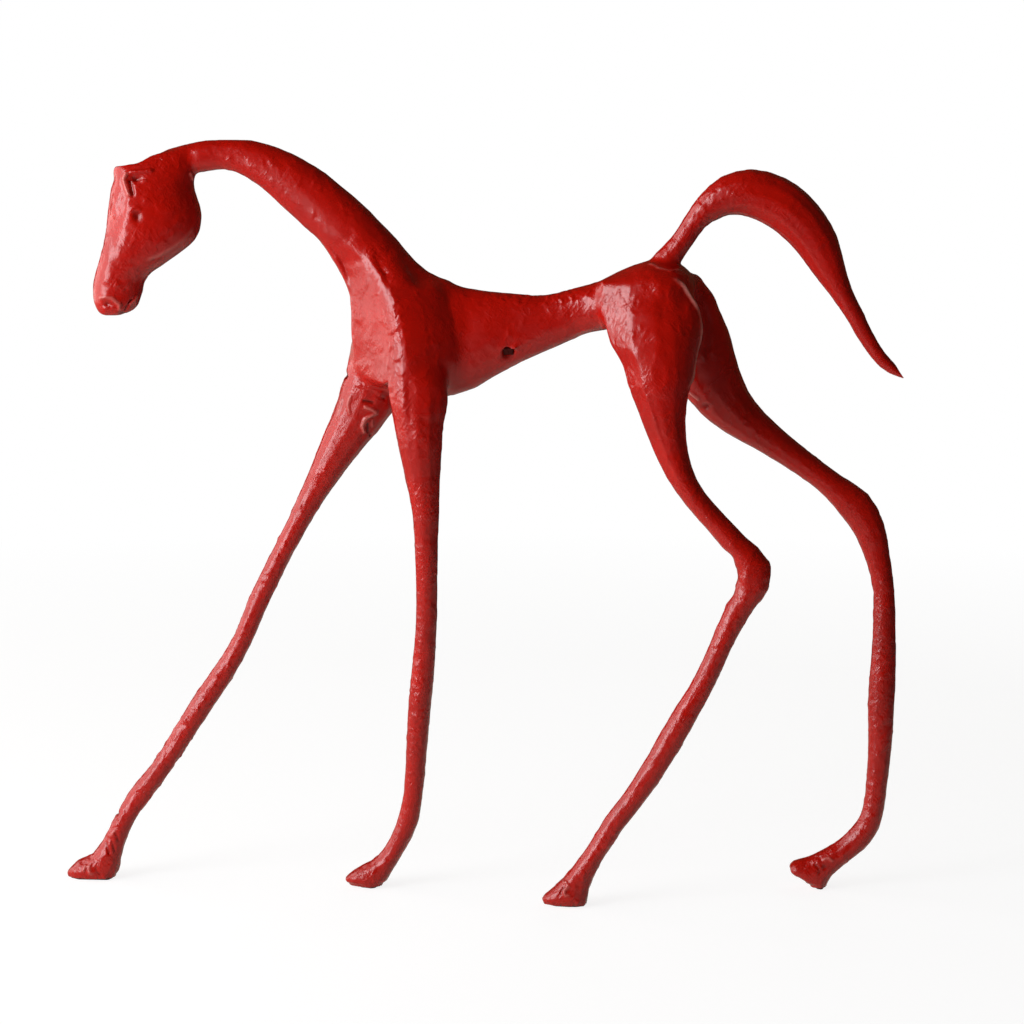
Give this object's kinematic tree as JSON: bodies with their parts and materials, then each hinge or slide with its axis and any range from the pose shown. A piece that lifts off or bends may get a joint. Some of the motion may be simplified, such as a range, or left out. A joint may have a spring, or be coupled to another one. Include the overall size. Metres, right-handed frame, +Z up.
{
  "type": "horse figurine",
  "caption": "Striding abstract horse ornament with an arched neck, raised arching tail and very long slender legs, glossy red, standing on its hooves.",
  "frame": {"origin": "middle of the bounding box's base, on the surface that the horse stands on", "axes": "+X from the head towards the tail, +Y towards the horse's right, +Z up"},
  "size_m": [0.409, 0.0612, 0.3644],
  "materials": {
    "red_paint": "glossy hand brushed red paint over hand modelled cast resin",
    "leg_paint": "red paint over wrinkled hand modelled cast resin, a little duller than the body",
    "painted_putty": "epoxy putty, sanded flush and painted red",
    "steel_wire": "bright drawn steel wire",
    "foot_pad": "thin black rubber sheet"
  },
  "bodies": {
    "root": {"body_casting": "red_paint", "head_casting": "red_paint", "tail_casting": "red_paint", "front_left_leg": "leg_paint", "front_right_leg": "leg_paint", "hind_left_leg": "leg_paint", "hind_right_leg": "leg_paint", "head_putty": "painted_putty", "tail_putty": "painted_putty", "front_left_putty": "painted_putty", "front_right_putty": "painted_putty", "hind_left_putty": "painted_putty", "hind_right_putty": "painted_putty", "belly_plug": "painted_putty", "neck_wire": "steel_wire", "tail_wire": "steel_wire", "front_left_wire": "steel_wire", "front_right_wire": "steel_wire", "hind_left_wire": "steel_wire", "hind_right_wire": "steel_wire", "front_left_foot_pad": "foot_pad", "front_right_foot_pad": "foot_pad", "hind_left_foot_pad": "foot_pad", "hind_right_foot_pad": "foot_pad"}
  },
  "joints": []
}
